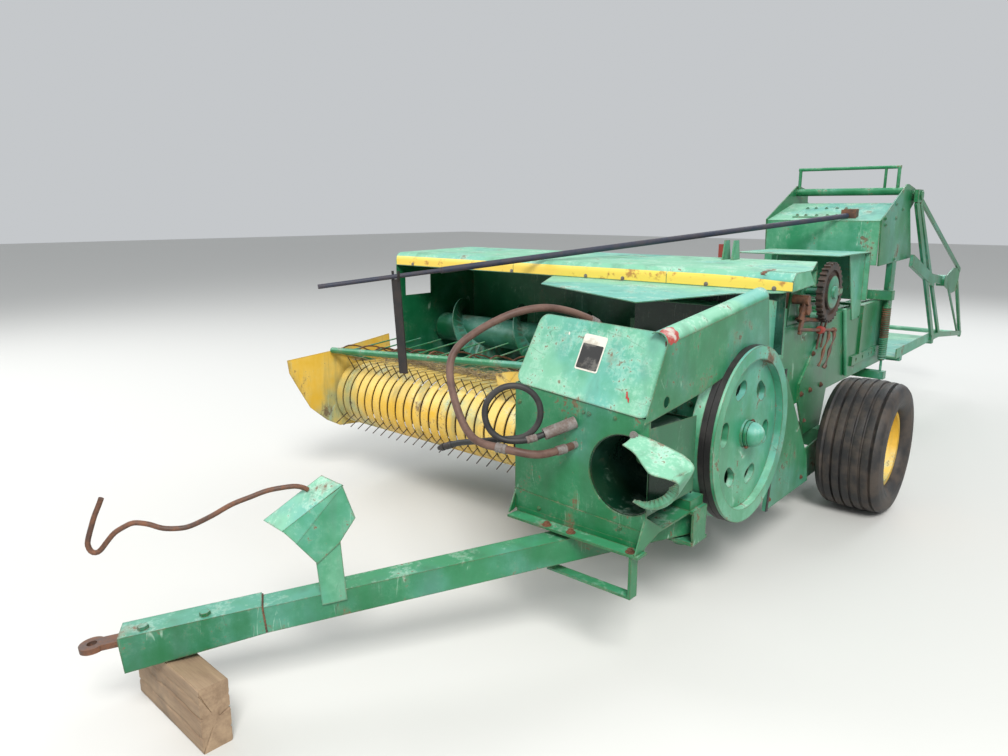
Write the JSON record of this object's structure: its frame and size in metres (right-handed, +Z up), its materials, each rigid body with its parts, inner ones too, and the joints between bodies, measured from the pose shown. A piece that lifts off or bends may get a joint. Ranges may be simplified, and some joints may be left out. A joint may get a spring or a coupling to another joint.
{
  "type": "square baler",
  "caption": "Towed small square baler with offset drawbar on a timber block, side pickup, cross auger, flywheel drive, knotter and rear pan bale thrower.",
  "frame": {"origin": "centre of the machine's bounding box without its two free hoses, on the ground", "axes": "+Z up, +Y to the rear (bales leave that way), +X to the machine's left, so the tractor is towards -Y"},
  "size_m": [2.731, 7.06, 1.881],
  "materials": {
    "belt_rubber": "worn",
    "black_paint": "worn",
    "blue_black_pipe": "worn",
    "dark_iron": "oily, rusting",
    "deep_green": "semi-gloss",
    "green_casting": "chalky",
    "green_paint": "worn, rust spots",
    "hose_black": "weathered",
    "hose_brown": "weathered",
    "pale_green": "sun-bleached, chalky",
    "red_rust": "rusted",
    "rusty_steel": "rusted",
    "timber": "rough sawn",
    "tyre": "ribbed, muddy",
    "worn_steel": "dull",
    "yellow_paint": "sun-faded, rusting"
  },
  "bodies": {
    "frame": {"case_side_left": "green_paint", "case_side_right": "green_paint", "case_floor": "green_paint", "case_roof": "pale_green", "chamber_rails": "green_paint", "gearbox": "green_casting", "plunger": "dark_iron", "crank_rod": "dark_iron", "front_housing": "green_paint", "front_hood": "pale_green", "side_shield": "pale_green", "guard_flap": "pale_green", "inner_panel": "pale_green", "belt_guard": "green_paint", "auger_house": "deep_green", "cover": "pale_green", "cover_flap": "pale_green", "cover_lugs": "pale_green", "axle_beam": "green_paint", "wheel_plate": "green_paint", "knotter_frame": "green_paint", "knotter_tools": "rusty_steel", "knotter_shield": "pale_green", "tension_gear": "green_paint", "lift_pipe": "blue_black_pipe", "lift_hook": "black_paint", "strap_post": "red_rust", "pipe_bracket": "rusty_steel", "thrower_sides": "green_paint", "thrower_deck": "pale_green", "thrower_rail": "green_paint", "hose_brown": "hose_brown", "hose_black": "hose_black", "hose_stubs": "worn_steel"},
    "drawbar": {"bar_tube": "green_paint", "bar_eye": "rusty_steel", "bar_stand": "pale_green", "bar_hook_rod": "rusty_steel", "timber": "timber"},
    "flywheel": {"flywheel": "green_casting", "belts": "belt_rubber"},
    "auger": {"auger": "deep_green", "auger_flight": "deep_green"},
    "knotter_gear": {"gear_wheel": "dark_iron"},
    "pickup": {"pickup_frame": "green_paint", "wind_guard": "green_paint", "pickup_bands": "yellow_paint", "pickup_shield": "yellow_paint"},
    "reel": {"reel": "dark_iron"},
    "left_wheel": {"tyre_left": "tyre", "rim_left": "yellow_paint"},
    "right_wheel": {"tyre_right": "tyre", "rim_right": "yellow_paint"},
    "thrower": {"thrower_arms": "green_paint", "thrower_pan": "pale_green"}
  },
  "joints": [
    {"name": "drawbar_swing", "type": "hinge", "parent": "frame", "child": "drawbar", "pos_m": [1.0535, -1.797, 0.4595], "axis": [0, 0, 1], "range_deg": [0, 22]},
    {"name": "flywheel_spin", "type": "hinge", "parent": "frame", "child": "flywheel", "pos_m": [1.1555, -1.432, 0.724], "axis": [1, 0, 0], "continuous": true},
    {"name": "auger_spin", "type": "hinge", "parent": "frame", "child": "auger", "pos_m": [-1.3395, -0.677, 0.83], "axis": [1, 0, 0], "continuous": true},
    {"name": "knotter_spin", "type": "hinge", "parent": "frame", "child": "knotter_gear", "pos_m": [0.9475, -0.077, 1.165], "axis": [1, 0, 0], "continuous": true},
    {"name": "pickup_lift", "type": "hinge", "parent": "frame", "child": "pickup", "pos_m": [-1.2795, -1.127, 0.6], "axis": [-1, 0, 0], "range_deg": [0, 14]},
    {"name": "reel_spin", "type": "hinge", "parent": "pickup", "child": "reel", "pos_m": [-1.2795, -1.437, 0.52], "axis": [1, 0, 0], "continuous": true},
    {"name": "left_wheel_spin", "type": "hinge", "parent": "frame", "child": "left_wheel", "pos_m": [1.2005, 0.013, 0.355], "axis": [1, 0, 0], "continuous": true},
    {"name": "right_wheel_spin", "type": "hinge", "parent": "frame", "child": "right_wheel", "pos_m": [-1.2245, 0.013, 0.33], "axis": [1, 0, 0], "continuous": true},
    {"name": "thrower_throw", "type": "hinge", "parent": "frame", "child": "thrower", "pos_m": [0.9555, 1.493, 1.69], "axis": [1, 0, 0], "range_deg": [0, 35]}
  ]
}
